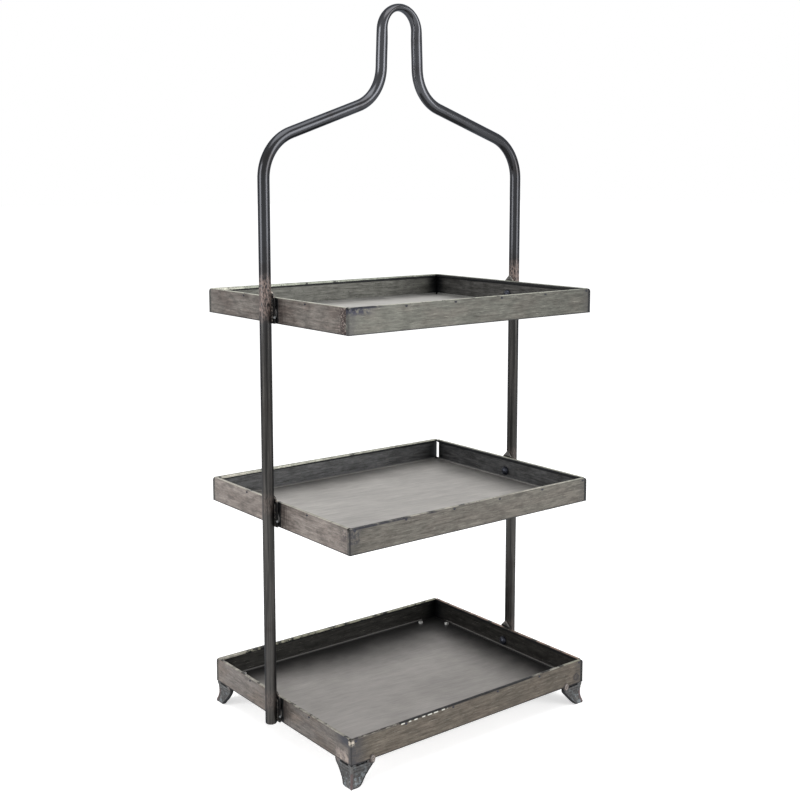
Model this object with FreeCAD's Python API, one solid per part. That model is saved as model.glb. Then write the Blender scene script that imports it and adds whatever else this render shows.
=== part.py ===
import FreeCAD, Part

import math
import os

from FreeCAD import Vector

# Three-tier tray stand. Millimetres, +Z up. The origin is on the floor, under the centre of the trays.
# +X runs along the long side of the trays, +Y towards the back.

# Trays
TRAY_LENGTH = 424.0
TRAY_WIDTH = 340.0
TRAY_SPACING = 275.5
RIM_HEIGHT = 34.4
RIM_SHEET = 1.2
HEM_WIDTH = 4.8
HEM_DEPTH = 7.0
HEM_ROUNDING = 1.2
RIM_END_ROUNDING = 4.5
CORNER_SLIT = 3.0
PAN_SHEET = 0.9
PAN_LIP = 3.6
PAN_CORNER_RELIEF = 3.0
PAN_FOOT_RELIEF = 30.0

# Bent frame tube: bend radii to the centre line. The shoulder is above the underside of the lowest
# tray, the neck above the shoulder, and the centre of the handle above the neck.
TUBE_DIAMETER = 16.0
TUBE_WALL = 1.2
TUBE_END_BELOW_TRAY = 0.5
SHOULDER_HEIGHT = 785.2
SHOULDER_BEND = 64.0
NECK_RISE = 67.1
NECK_BEND = 58.0
HANDLE_RISE = 90.5
HANDLE_RADIUS = 31.8
CAP_THICKNESS = 2.0
CAP_ROUNDING = 1.5

# Joint between a tray's short side and the tube
BRACKET_WIDTH = 17.0
BRACKET_SHEET = 2.0
BRACKET_EAR = 8.5
EAR_TIP_ROUNDING = 1.5
WELD_WIDTH = 11.0
WELD_REACH = 2.0
WASHER_DIAMETER = 17.6
WASHER_THICKNESS = 1.7
BOLT_DIAMETER = 6.0
BOLT_HEAD_DIAMETER = 14.0
BOLT_HEAD_HEIGHT = 5.8
BOLT_HEAD_EDGE = 1.5
BOLT_TIP = 1.0
TUBE_NUT_DIAMETER = 8.5
TUBE_NUT_LENGTH = 4.0
HEAD_ABOVE_LIP = {"bottom": 0.4, "middle": 1.4, "top": 2.9}

# Corner feet: reaches are measured from the outer corner of the tray
FOOT_HEIGHT = 33.0
FOOT_INSET = 1.5
FOOT_WALL = 3.5
LONG_WING_REACH = 35.0
SHORT_WING_REACH = 29.0
WING_TAPER = 1.0
WING_DEPTH = 6.0
WAIST_REACH = 19.5
WAIST_HEIGHT = 11.0
TOE_REACH = 18.0
TOE_WALL = 8.0
TOE_KICK = 2.8
TOE_HEIGHT = 6.0
SOLE_REACH = 11.0
SOLE_WALL = 6.5
SLOT_START = 6.0
SLOT_TO_EAR = 2.0
SLOT_HEIGHT = 2.2
SLOT_DEPTH = 2.4
EAR_RADIUS = 5.0
EAR_PROUD = 2.0
PLATE_REACH = 47.0
PLATE_WIDTH = 17.0
PLATE_THICKNESS = 2.0
SCREW_FROM_TIP = 6.0
SCREW_DIAMETER = 4.0
SCREW_HEAD_DIAMETER = 7.6
SCREW_HEAD_HEIGHT = 2.6
SCREW_TIP = 0.8
NUT_ACROSS_FLATS = 7.0
NUT_THICKNESS = 3.2

# Clearances
SEAT_GAP = 0.2
HOLE_CLEARANCE = 0.3

UP = Vector(0, 0, 1)
SIDEWAYS = Vector(1, 0, 0)
BACKWARDS = Vector(0, 1, 0)
CENTRE = Vector(0, 0, 0)
HALF_TURN = 180.0

TRAY_LEVELS = {
    "bottom": FOOT_HEIGHT,
    "middle": FOOT_HEIGHT + TRAY_SPACING,
    "top": FOOT_HEIGHT + 2 * TRAY_SPACING,
}
HALF_LENGTH = TRAY_LENGTH / 2
HALF_WIDTH = TRAY_WIDTH / 2
TUBE_RADIUS = TUBE_DIAMETER / 2
BORE_RADIUS = TUBE_RADIUS - TUBE_WALL
BRACKET_INNER_X = HALF_LENGTH + WASHER_THICKNESS
BRACKET_OUTER_X = BRACKET_INNER_X + BRACKET_SHEET
TUBE_X = BRACKET_OUTER_X + SEAT_GAP + TUBE_RADIUS
TUBE_NUT_OUTER_X = TUBE_X - math.sqrt(BORE_RADIUS ** 2 - (TUBE_NUT_DIAMETER / 2) ** 2) + SEAT_GAP
BOLT_HEIGHTS = {
    tier: level + PAN_LIP + HEAD_ABOVE_LIP[tier] + BOLT_HEAD_DIAMETER / 2
    for tier, level in TRAY_LEVELS.items()
}
BOLT_HOLE_RADIUS = BOLT_DIAMETER / 2 + HOLE_CLEARANCE
SCREW_HOLE_RADIUS = SCREW_DIAMETER / 2 + HOLE_CLEARANCE
PLATE_START = FOOT_INSET + FOOT_WALL / 2
SCREW_REACH = PLATE_REACH - SCREW_FROM_TIP
SCREW_INSET = (PLATE_START + PLATE_WIDTH) / 2

os.makedirs("parts", exist_ok=True)


def save(name, shape):
    """Write one named piece, or one group of equal pieces."""
    shape.exportStep("parts/" + name + ".step")


def rounded_edges(corners, closed):
    """Lines and tangent arcs through corners, each given as (point, rounding radius)."""
    edges = []
    count = len(corners)
    starts = []
    ends = []
    for index, (point, radius) in enumerate(corners):
        if radius <= 0:
            starts.append(point)
            ends.append(point)
            continue
        back = (corners[index - 1][0] - point).normalize()
        ahead = (corners[(index + 1) % count][0] - point).normalize()
        half_angle = back.getAngle(ahead) / 2
        setback = radius / math.tan(half_angle)
        middle = point + (back + ahead).normalize() * (radius / math.sin(half_angle) - radius)
        starts.append(point + back * setback)
        ends.append(point + ahead * setback)
        edges.append(Part.Arc(starts[index], middle, ends[index]).toShape())
    last = count if closed else count - 1
    for index in range(last):
        start = ends[index]
        end = starts[(index + 1) % count]
        if start.distanceToPoint(end) > 1e-6:
            edges.append(Part.makeLine(start, end))
    return Part.Wire(Part.__sortEdges__(edges))


def plate(corners, thickness):
    """Flat plate: a closed rounded outline pushed through by the thickness vector."""
    return Part.Face(rounded_edges(corners, True)).extrude(thickness)


def box(low, high):
    """Box between two opposite corners."""
    size = high - low
    return Part.makeBox(size.x, size.y, size.z, low)


def round_bar(radius, start, end):
    """Solid round bar from start to end."""
    axis = end - start
    return Part.makeCylinder(radius, axis.Length, start, axis)


def turned(shape):
    """The same piece on the opposite side of the stand."""
    return shape.rotated(CENTRE, UP, HALF_TURN)


# ---- Tray rims --------------------------------------------------------------------------------


def rim_profile(outer, inward, level):
    """Section of a rim strip: a wall with its top edge folded over inwards and down again."""
    top = level + RIM_HEIGHT
    hem_bottom = top - HEM_DEPTH
    inner_return = HEM_WIDTH - RIM_SHEET
    section = (
        (0, level, 0),
        (RIM_SHEET, level, 0),
        (RIM_SHEET, top - RIM_SHEET, 0),
        (inner_return, top - RIM_SHEET, 0),
        (inner_return, hem_bottom, 0),
        (HEM_WIDTH, hem_bottom, 0),
        (HEM_WIDTH, top, HEM_ROUNDING),
        (0, top, HEM_ROUNDING),
    )
    return [(outer + inward * depth + UP * height, radius) for depth, height, radius in section]


def long_rim(level):
    """Front rim: runs the full length, with rounded upper corners at both ends."""
    start = Vector(-HALF_LENGTH, -HALF_WIDTH, 0)
    strip = plate(rim_profile(start, BACKWARDS, level), SIDEWAYS * TRAY_LENGTH)
    top = level + RIM_HEIGHT
    outline = (
        (Vector(-HALF_LENGTH, -HALF_WIDTH, level), 0),
        (Vector(HALF_LENGTH, -HALF_WIDTH, level), 0),
        (Vector(HALF_LENGTH, -HALF_WIDTH, top), RIM_END_ROUNDING),
        (Vector(-HALF_LENGTH, -HALF_WIDTH, top), RIM_END_ROUNDING),
    )
    return strip.common(plate(outline, BACKWARDS * HEM_WIDTH))


def short_rim(level, bolt_height):
    """Right-hand rim: butts between the long rims, its hem cut back to clear theirs."""
    reach = HALF_WIDTH - RIM_SHEET
    start = Vector(HALF_LENGTH, -reach, 0)
    strip = plate(rim_profile(start, -SIDEWAYS, level), BACKWARDS * (2 * reach))
    top = level + RIM_HEIGHT
    for end in (-1, 1):
        inner = end * (HALF_WIDTH - HEM_WIDTH - SEAT_GAP)
        outer = end * HALF_WIDTH
        low = Vector(HALF_LENGTH - HEM_WIDTH, min(inner, outer), top - HEM_DEPTH - SEAT_GAP)
        high = Vector(HALF_LENGTH, max(inner, outer), top)
        strip = strip.cut(box(low, high))
    axis_start = Vector(HALF_LENGTH - RIM_SHEET, 0, bolt_height)
    axis_end = Vector(HALF_LENGTH, 0, bolt_height)
    return strip.cut(round_bar(BOLT_HOLE_RADIUS, axis_start, axis_end))


def open_back_corner(strip, level):
    """Leave the wall of a right-hand rim short of the back rim, as an open slit between the folds."""
    back = HALF_WIDTH - RIM_SHEET
    low = Vector(HALF_LENGTH - RIM_SHEET, back - CORNER_SLIT, level + PAN_LIP)
    high = Vector(HALF_LENGTH, back, level + RIM_HEIGHT - HEM_DEPTH)
    return strip.cut(box(low, high))


# ---- Tray floor pans --------------------------------------------------------------------------


def floor_pan(level, relief):
    """Flat floor with a low upturned lip inside the rims, cut away at the four corners."""
    half_x = HALF_LENGTH - RIM_SHEET
    half_y = HALF_WIDTH - RIM_SHEET
    lip_top = level + PAN_LIP
    floor = box(Vector(-half_x, -half_y, level), Vector(half_x, half_y, level + PAN_SHEET))
    front_start = Vector(relief - half_x, -half_y, level)
    front_lip = box(front_start, Vector(half_x - relief, PAN_SHEET - half_y, lip_top))
    right_start = Vector(half_x - PAN_SHEET, relief - half_y, level)
    right_lip = box(right_start, Vector(half_x, half_y - relief, lip_top))
    return floor.fuse([front_lip, turned(front_lip), right_lip, turned(right_lip)]).removeSplitter()


# ---- Joint between tray and tube, right-hand side ---------------------------------------------


def bracket(level, bolt_height):
    """Upright strip behind the washer, pointed at the top, with the weld that holds it to the tube."""
    half = BRACKET_WIDTH / 2
    top = level + RIM_HEIGHT
    outline = (
        (Vector(BRACKET_INNER_X, -half, level), 0),
        (Vector(BRACKET_INNER_X, half, level), 0),
        (Vector(BRACKET_INNER_X, half, top), 0),
        (Vector(BRACKET_INNER_X, 0, top + BRACKET_EAR), EAR_TIP_ROUNDING),
        (Vector(BRACKET_INNER_X, -half, top), 0),
    )
    strip = plate(outline, SIDEWAYS * BRACKET_SHEET)
    weld_low = Vector(BRACKET_OUTER_X, -WELD_WIDTH / 2, level)
    weld_high = Vector(BRACKET_OUTER_X + WELD_REACH, WELD_WIDTH / 2, top)
    tube_space = round_bar(TUBE_RADIUS + SEAT_GAP, Vector(TUBE_X, 0, level), Vector(TUBE_X, 0, top))
    weld = box(weld_low, weld_high).cut(tube_space)
    hole = round_bar(
        BOLT_HOLE_RADIUS,
        Vector(BRACKET_INNER_X, 0, bolt_height),
        Vector(TUBE_X, 0, bolt_height),
    )
    return strip.fuse(weld).removeSplitter().cut(hole)


def washer(bolt_height):
    """Round spacer between the rim and the bracket."""
    start = Vector(HALF_LENGTH, 0, bolt_height)
    end = Vector(BRACKET_INNER_X, 0, bolt_height)
    return round_bar(WASHER_DIAMETER / 2, start, end).cut(round_bar(BOLT_HOLE_RADIUS, start, end))


def bolt(bolt_height):
    """Domed bolt: head inside the tray, shank through rim, washer and bracket into the tube nut."""
    seat_x = HALF_LENGTH - RIM_SHEET
    head_radius = BOLT_HEAD_DIAMETER / 2
    edge_x = seat_x - BOLT_HEAD_EDGE
    crown = Vector(seat_x - BOLT_HEAD_HEIGHT, 0, bolt_height)
    edge = Vector(edge_x, 0, bolt_height + head_radius)
    rise = BOLT_HEAD_HEIGHT - BOLT_HEAD_EDGE
    dome_radius = (head_radius ** 2 + rise ** 2) / (2 * rise)
    dome_centre = crown + SIDEWAYS * dome_radius
    halfway = (crown + edge) / 2 - dome_centre
    on_dome = dome_centre + halfway.normalize() * dome_radius
    axis_point = Vector(seat_x, 0, bolt_height)
    rim_point = Vector(seat_x, 0, bolt_height + head_radius)
    profile = Part.Wire([
        Part.makeLine(axis_point, rim_point),
        Part.makeLine(rim_point, edge),
        Part.Arc(edge, on_dome, crown).toShape(),
        Part.makeLine(crown, axis_point),
    ])
    head = Part.Face(profile).revolve(axis_point, SIDEWAYS, 360)
    tip = Vector(TUBE_NUT_OUTER_X + TUBE_NUT_LENGTH + BOLT_TIP, 0, bolt_height)
    return head.fuse(round_bar(BOLT_DIAMETER / 2, axis_point, tip)).removeSplitter()


def tube_nut(bolt_height):
    """Round nut inside the tube, seated against the bore."""
    start = Vector(TUBE_NUT_OUTER_X, 0, bolt_height)
    end = Vector(TUBE_NUT_OUTER_X + TUBE_NUT_LENGTH, 0, bolt_height)
    nut = round_bar(TUBE_NUT_DIAMETER / 2, start, end)
    return nut.cut(round_bar(BOLT_DIAMETER / 2 + SEAT_GAP, start, end))


# ---- Frame tube -------------------------------------------------------------------------------


def tube_path():
    """Centre line: up the left side, over the shoulders and the round handle, and down the right."""
    tube_end = TRAY_LEVELS["bottom"] - TUBE_END_BELOW_TRAY + CAP_THICKNESS
    shoulder = TRAY_LEVELS["bottom"] + SHOULDER_HEIGHT
    neck = shoulder + NECK_RISE
    right_side = (
        (TUBE_X, tube_end, 0),
        (TUBE_X, shoulder, SHOULDER_BEND),
        (HANDLE_RADIUS, neck, NECK_BEND),
        (HANDLE_RADIUS, neck + HANDLE_RISE + HANDLE_RADIUS, HANDLE_RADIUS),
    )
    left = [(Vector(-x, 0, z), radius) for x, z, radius in right_side]
    right = [(Vector(x, 0, z), radius) for x, z, radius in reversed(right_side)]
    return rounded_edges(left + right, False)


def swept(path, radius):
    """Round bar of one radius along the centre line."""
    start = path.OrderedVertexes[0].Point
    section = Part.Wire(Part.makeCircle(radius, start, UP))
    return Part.makeSolid(path.makePipeShell([section], True, False))


def frame_tube():
    """One bent round tube with a plain bolt hole in its inner wall at each tray."""
    path = tube_path()
    tube = swept(path, TUBE_RADIUS).cut(swept(path, BORE_RADIUS))
    for height in BOLT_HEIGHTS.values():
        for side in (-1, 1):
            outside = Vector(side * (TUBE_X - TUBE_RADIUS - SEAT_GAP), 0, height)
            tube = tube.cut(round_bar(BOLT_HOLE_RADIUS, outside, Vector(side * TUBE_X, 0, height)))
    return tube


def end_cap():
    """Welded disc that closes the lower end of the right-hand upright."""
    level = TRAY_LEVELS["bottom"] - TUBE_END_BELOW_TRAY
    disc = Part.makeCylinder(TUBE_RADIUS, CAP_THICKNESS, Vector(TUBE_X, 0, level), UP)
    lower_rim = [edge for edge in disc.Edges if edge.BoundBox.ZMax < level + CAP_THICKNESS / 2]
    return disc.makeFillet(CAP_ROUNDING, lower_rim)


# ---- Corner feet ------------------------------------------------------------------------------
# Each foot is drawn in the front left corner of the lowest tray, where +X and +Y both lead inwards.

FOOT_CORNER = Vector(-HALF_LENGTH, -HALF_WIDTH, FOOT_HEIGHT)


def foot_section(height, inset, long_reach, short_reach, wall):
    """Angle-shaped outline of a foot at one height: the long wing along X, the short one along Y."""
    corners = (
        (inset, inset),
        (long_reach, inset),
        (long_reach, inset + wall),
        (inset + wall, inset + wall),
        (inset + wall, short_reach),
        (inset, short_reach),
        (inset, inset),
    )
    return Part.makePolygon([FOOT_CORNER + Vector(x, y, height - FOOT_HEIGHT) for x, y in corners])


def foot_body():
    """Ogee corner foot: broad wings under the tray, a narrow waist and a toe kicked outwards."""
    wing_bottom = FOOT_HEIGHT - WING_DEPTH
    flank = (wing_bottom + WAIST_HEIGHT) / 2
    long_flank = (LONG_WING_REACH + WAIST_REACH) / 2
    short_flank = (SHORT_WING_REACH + WAIST_REACH) / 2
    kicked = FOOT_INSET - TOE_KICK
    toe_tip = (TOE_REACH + SOLE_REACH) / 2
    ankle_inset = (FOOT_INSET + kicked) / 2
    ankle_wall = (FOOT_WALL + TOE_WALL) / 2
    long_wing = LONG_WING_REACH - WING_TAPER
    short_wing = SHORT_WING_REACH - WING_TAPER
    sections = [
        foot_section(FOOT_HEIGHT, FOOT_INSET, LONG_WING_REACH, SHORT_WING_REACH, FOOT_WALL),
        foot_section(wing_bottom, FOOT_INSET, long_wing, short_wing, FOOT_WALL),
        foot_section(flank, FOOT_INSET, long_flank, short_flank, FOOT_WALL),
        foot_section(WAIST_HEIGHT, FOOT_INSET, WAIST_REACH, WAIST_REACH, FOOT_WALL),
        foot_section(TOE_HEIGHT, ankle_inset, TOE_REACH, TOE_REACH, ankle_wall),
        foot_section(TOE_HEIGHT / 3, kicked, toe_tip, toe_tip, TOE_WALL),
        foot_section(0, kicked, SOLE_REACH, SOLE_REACH, SOLE_WALL),
    ]
    return Part.makeLoft(sections, True, False)


def wing_details(reach):
    """Ear and slot of the wing along X. The ear stands proud and laps over the rim; the slot is open."""
    ear_reach = reach - EAR_RADIUS
    centre = FOOT_CORNER + SIDEWAYS * ear_reach
    lobe = round_bar(EAR_RADIUS, centre - BACKWARDS * EAR_PROUD, centre + BACKWARDS * PLATE_START)
    rim_space = box(FOOT_CORNER, FOOT_CORNER + Vector(reach + EAR_RADIUS, PLATE_START, EAR_RADIUS))
    slot_low = FOOT_CORNER + Vector(SLOT_START, 0, -SLOT_HEIGHT)
    slot_high = FOOT_CORNER + Vector(ear_reach - EAR_RADIUS - SLOT_TO_EAR, FOOT_INSET + SLOT_DEPTH, 0)
    return lobe.cut(rim_space), box(slot_low, slot_high)


def swap_wings(shape):
    """Mirror in the upright diagonal plane of the corner: what ran along X now runs along Y."""
    return shape.mirror(FOOT_CORNER, (SIDEWAYS - BACKWARDS).normalize())


def screw_points():
    """Centres of the two screws of a foot, on the underside of the tray."""
    return (
        FOOT_CORNER + Vector(SCREW_REACH, SCREW_INSET, 0),
        FOOT_CORNER + Vector(SCREW_INSET, SCREW_REACH, 0),
    )


def foot():
    """Whole foot: body, ears, slots under the rims, and the screw plate under the tray."""
    arm_low = FOOT_CORNER + Vector(PLATE_START, PLATE_START, -PLATE_THICKNESS)
    arm = box(arm_low, FOOT_CORNER + Vector(PLATE_REACH, PLATE_WIDTH, 0))
    long_ear, long_slot = wing_details(LONG_WING_REACH)
    short_ear, short_slot = wing_details(SHORT_WING_REACH)
    whole = foot_body().fuse([arm, swap_wings(arm)])
    whole = whole.cut([long_slot, swap_wings(short_slot)])
    whole = whole.fuse([long_ear, swap_wings(short_ear)]).removeSplitter()
    for point in screw_points():
        whole = whole.cut(round_bar(SCREW_HOLE_RADIUS, point - UP * PLATE_THICKNESS, point))
    return whole


def foot_screws():
    """The two screws of a foot: heads under the plate, shanks up through the tray floor."""
    screws = []
    for point in screw_points():
        seat = point - UP * PLATE_THICKNESS
        head = round_bar(SCREW_HEAD_DIAMETER / 2, seat - UP * SCREW_HEAD_HEIGHT, seat)
        shank = round_bar(SCREW_DIAMETER / 2, seat, point + UP * (PAN_SHEET + NUT_THICKNESS + SCREW_TIP))
        screws.append(head.fuse(shank).removeSplitter())
    return screws


def foot_nuts():
    """The two hexagon nuts of a foot, on the tray floor."""
    nuts = []
    corner_radius = NUT_ACROSS_FLATS / 2 / math.cos(math.pi / 6)
    for point in screw_points():
        seat = point + UP * PAN_SHEET
        corners = []
        for index in range(7):
            angle = index * math.pi / 3
            corners.append(seat + Vector(math.cos(angle), math.sin(angle), 0) * corner_radius)
        nut = Part.Face(Part.makePolygon(corners)).extrude(UP * NUT_THICKNESS)
        bore = round_bar(SCREW_DIAMETER / 2 + SEAT_GAP, seat, seat + UP * NUT_THICKNESS)
        nuts.append(nut.cut(bore))
    return nuts


def at_corner(shape, x_side, y_side):
    """Copy a piece of the front left corner to the named corner, by mirroring."""
    placed = shape
    if x_side > 0:
        placed = placed.mirror(CENTRE, SIDEWAYS)
    if y_side > 0:
        placed = placed.mirror(CENTRE, BACKWARDS)
    return placed


# ---- Write every piece ------------------------------------------------------------------------

save("frame_tube", frame_tube())
save("tube_end_cap_right", end_cap())
save("tube_end_cap_left", turned(end_cap()))

for tier, level in TRAY_LEVELS.items():
    bolt_height = BOLT_HEIGHTS[tier]
    relief = PAN_FOOT_RELIEF if tier == "bottom" else PAN_CORNER_RELIEF
    pan = floor_pan(level, relief)
    right_rim = short_rim(level, bolt_height)
    left_rim = turned(right_rim)
    if tier == "bottom":
        for x_side in (-1, 1):
            for y_side in (-1, 1):
                for point in screw_points():
                    hole = round_bar(SCREW_HOLE_RADIUS, point, point + UP * PAN_SHEET)
                    pan = pan.cut(at_corner(hole, x_side, y_side))
    if tier == "middle":
        right_rim = open_back_corner(right_rim, level)
    front_rim = long_rim(level)
    joint_bracket = bracket(level, bolt_height)
    joint_washer = washer(bolt_height)
    joint_bolt = bolt(bolt_height)
    joint_nut = tube_nut(bolt_height)
    save(tier + "_tray_floor", pan)
    save(tier + "_tray_rim_front", front_rim)
    save(tier + "_tray_rim_back", turned(front_rim))
    save(tier + "_tray_rim_right", right_rim)
    save(tier + "_tray_rim_left", left_rim)
    save(tier + "_bracket_right", joint_bracket)
    save(tier + "_bracket_left", turned(joint_bracket))
    save(tier + "_tray_bolts", Part.makeCompound([joint_bolt, turned(joint_bolt)]))
    save(tier + "_spacer_washers", Part.makeCompound([joint_washer, turned(joint_washer)]))
    save(tier + "_tube_nuts", Part.makeCompound([joint_nut, turned(joint_nut)]))

front_left_foot = foot()
all_screws = []
all_nuts = []
for x_name, x_side in (("left", -1), ("right", 1)):
    for y_name, y_side in (("front", -1), ("back", 1)):
        save("foot_" + y_name + "_" + x_name, at_corner(front_left_foot, x_side, y_side))
        all_screws += [at_corner(screw, x_side, y_side) for screw in foot_screws()]
        all_nuts += [at_corner(nut, x_side, y_side) for nut in foot_nuts()]
save("foot_screws", Part.makeCompound(all_screws))
save("foot_nuts", Part.makeCompound(all_nuts))
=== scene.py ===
import bmesh
import bpy
from math import asin, cos, degrees, exp, pi, radians, sin, sqrt, tan
from mathutils import Matrix, Vector, noise


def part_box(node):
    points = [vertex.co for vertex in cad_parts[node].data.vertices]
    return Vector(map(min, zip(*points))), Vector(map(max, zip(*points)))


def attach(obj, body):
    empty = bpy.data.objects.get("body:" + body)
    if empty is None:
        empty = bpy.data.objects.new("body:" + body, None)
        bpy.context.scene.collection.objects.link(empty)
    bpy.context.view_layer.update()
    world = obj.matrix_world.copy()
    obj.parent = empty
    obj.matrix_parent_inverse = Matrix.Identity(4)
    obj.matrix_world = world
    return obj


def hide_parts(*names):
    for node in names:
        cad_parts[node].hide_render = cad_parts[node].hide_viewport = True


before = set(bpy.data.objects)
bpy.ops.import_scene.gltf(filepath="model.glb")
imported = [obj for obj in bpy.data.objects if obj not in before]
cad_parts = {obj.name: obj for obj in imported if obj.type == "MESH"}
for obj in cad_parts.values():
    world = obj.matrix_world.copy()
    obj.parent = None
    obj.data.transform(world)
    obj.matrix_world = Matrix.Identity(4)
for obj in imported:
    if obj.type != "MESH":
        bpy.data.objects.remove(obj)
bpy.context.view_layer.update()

# ---- Sizes, in millimetres but for HALF_X and HALF_Y: most are read from the frame ----
# Meshes are scaled to metres when made, and materials count in metres.

MM = 0.001
X, Y, Z = 0, 1, 2


def span(node, axis):
    """Lowest and highest value of a CAD node along one axis."""
    low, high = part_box(node)
    return low[axis] / MM, high[axis] / MM


def middle(node, axis):
    """Middle of a CAD node along one axis."""
    return sum(span(node, axis)) / 2


TIERS = ("bottom", "middle", "top")
LEVELS = {tier: span(tier + "_tray_floor", Z)[0] for tier in TIERS}
BOLT_HEIGHTS = {tier: middle(tier + "_tray_bolts", Z) for tier in TIERS}
HALF_LENGTH = span("top_tray_rim_front", X)[1]
HALF_WIDTH = -span("top_tray_rim_front", Y)[0]
HALF_X, HALF_Y = HALF_LENGTH * MM, HALF_WIDTH * MM
RIM_HEIGHT = span("top_tray_rim_front", Z)[1] - LEVELS["top"]
HEM_WIDTH = span("top_tray_rim_front", Y)[1] + HALF_WIDTH
RIM_SHEET = HALF_WIDTH - span("top_tray_rim_right", Y)[1]
HEM_DEPTH = 4.0
HEM_ROUNDING = 1.2
RIM_END_ROUNDING = 4.5
CORNER_SLIT, SLIT_STEP = 7.0, 0.04
SHORT_HEM_CUT, OPEN_HEM = 3.9, 10.0
RIM_INSET, RIM_SWAY = 0.25, 0.22
RIM_END, RIM_STEP = 10.0, 8.0
PAN_SHEET = 0.9
PAN_LIP = span("top_tray_floor", Z)[1] - LEVELS["top"]
PAN_CLEARANCE = 0.1
LIP_RELIEF = {"bottom": 30.0, "middle": 3.0, "top": 3.0}
TUBE_X = middle("tube_end_cap_right", X)
TUBE_RADIUS = TUBE_X - span("tube_end_cap_right", X)[0]
TUBE_END = span("frame_tube", Z)[0]
CAP_BOTTOM = span("tube_end_cap_right", Z)[0]
SHOULDER_HEIGHT, SHOULDER_BEND = 818.2, 64.0
NECK_HEIGHT, NECK_BEND = 885.3, 58.0
HANDLE_RADIUS = 31.8
HANDLE_CENTRE = span("frame_tube", Z)[1] - TUBE_RADIUS - HANDLE_RADIUS
HANDLE_FLATTENING, FLAT_BELOW_CENTRE = 0.34, 14.0
HANDLE_LEAN, LEAN_LENGTH = 1.6, 60.0
ARC_STEP, LINE_STEP, HANDLE_STEPS = 3.0, 9.0, 30
TUBE_SIDES = 48
BRACKET_X = span("top_bracket_right", X)[0]
BRACKET_SHEET = 2.0
BRACKET_HALF = span("top_bracket_right", Y)[1]
EAR_TIP = span("top_bracket_right", Z)[1] - LEVELS["top"]
BOLT_RADIUS, BOLT_LENGTH = 3.0, 16.0
HEAD_RADIUS = span("top_tray_bolts", Z)[1] - BOLT_HEIGHTS["top"]
HEAD_RISE = 4.3
FOOT_HEIGHT = LEVELS["bottom"]
TACKS_LONG = (-204.0, -122.3, -40.8, 40.8, 122.3, 204.0)
TACKS_SHORT = (-75.0, 75.0)
TACK_DROP = 2.4
PLUG_X, PLUG_HEIGHT, PLUG_RADIUS = 198.4, 10.6, 5.2

# Feet: height, reach of the long wing, reach of the short wing, inset from the rim, wall
FOOT_PROFILE = (
    (33.0, 39.0, 37.6, 1.2, 3.2),
    (30.0, 39.2, 38.0, 1.7, 3.2),
    (27.0, 38.9, 38.0, 2.3, 3.0),
    (24.0, 37.4, 37.0, 2.7, 3.0),
    (20.0, 33.6, 33.6, 3.0, 3.0),
    (16.0, 29.9, 30.4, 3.0, 3.0),
    (12.0, 25.8, 27.0, 2.6, 3.2),
    (8.0, 22.0, 23.2, 1.7, 3.6),
    (5.0, 19.0, 20.6, 0.6, 4.0),
    (2.5, 16.0, 18.8, 0.0, 4.0),
    (1.0, 13.6, 16.6, 0.3, 3.8),
    (0.0, 11.4, 14.0, 0.8, 3.4),
)
SLOT_FROM, SLOT_TO, SLOT_BOTTOM, SLOT_DEPTH = 0.195, 0.67, 29.9, 2.4
EAR_HALF_WIDTH, EAR_HALF_HEIGHT, EAR_TO_TIP = 4.3, 6.2, 4.6
PLATE_REACH, PLATE_WIDTH, PLATE_THICKNESS = 47.0, 17.0, 2.0
PLATE_START, PLATE_CUT = 3.2, 2.0
SCREW_REACH, SCREW_INSET = 41.0, 10.125
NUT_HALF, NUT_BORE, NUT_SIDES = 3.45, 2.1, 36
FOOT_MARKS = ("relief", "edge", "ridge", "ear")

# Gap that keeps a face inside the CAD box, radius that closes a turned profile, and the distance in
# metres under which points are one
SKIN, POINTED, SAME_POINT = 0.05, 0.05, 1e-6


# ---- Node materials ----


class Nodes:
    """Shader nodes of one tree, put together by short calls."""

    def __init__(self, tree):
        self.tree = tree

    def add(self, kind, **settings):
        node = self.tree.nodes.new("ShaderNode" + kind)
        for name, value in settings.items():
            setattr(node, name, value)
        return node

    def put(self, socket, value):
        """Link a socket, or set a plain value."""
        if isinstance(value, bpy.types.NodeSocket):
            self.tree.links.new(value, socket)
        elif socket.type == "RGBA":
            socket.default_value = (*value, 1.0)
        else:
            socket.default_value = value

    def fill(self, node, values):
        """Put values on a node's first sockets."""
        for socket, value in zip(node.inputs, values):
            self.put(socket, value)
        return node.outputs[0]

    def put_named(self, node, **values):
        """Put values on a node's sockets by their names."""
        for name, value in values.items():
            self.put(node.inputs[name], value)

    def split(self, vector):
        node = self.add("SeparateXYZ")
        self.put(node.inputs[0], vector)
        return node.outputs

    def math(self, operation, *values):
        return self.fill(self.add("Math", operation=operation), values)

    def plus(self, a, b):
        return self.math("ADD", a, b)

    def minus(self, a, b):
        return self.math("SUBTRACT", a, b)

    def larger(self, a, b):
        return self.math("MAXIMUM", a, b)

    def below(self, a, b):
        """1 where a is less than b, otherwise 0."""
        return self.math("LESS_THAN", a, b)

    def times(self, *values):
        product = values[0]
        for value in values[1:]:
            product = self.math("MULTIPLY", product, value)
        return product

    def ramp(self, value, low, high, to_low=0.0, to_high=1.0, kind="SMOOTHSTEP"):
        """Map a value from one range to another, clamped."""
        node = self.add("MapRange", interpolation_type=kind)
        return self.fill(node, (value, low, high, to_low, to_high))

    def between(self, share, a, b):
        """a at share 0 and b at share 1."""
        return self.ramp(share, 0.0, 1.0, a, b)

    def linear(self, value, low, high, to_low, to_high):
        return self.ramp(value, low, high, to_low, to_high, "LINEAR")

    def fade(self, value, low, high, strength=1.0):
        """A strength that falls to 0 between low and high."""
        return self.ramp(value, low, high, strength, 0.0)

    def band(self, value, low, high, soft):
        """1 between low and high, fading to 0 over a soft edge."""
        return self.times(self.ramp(value, low - soft, low), self.fade(value, high, high + soft))


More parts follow.
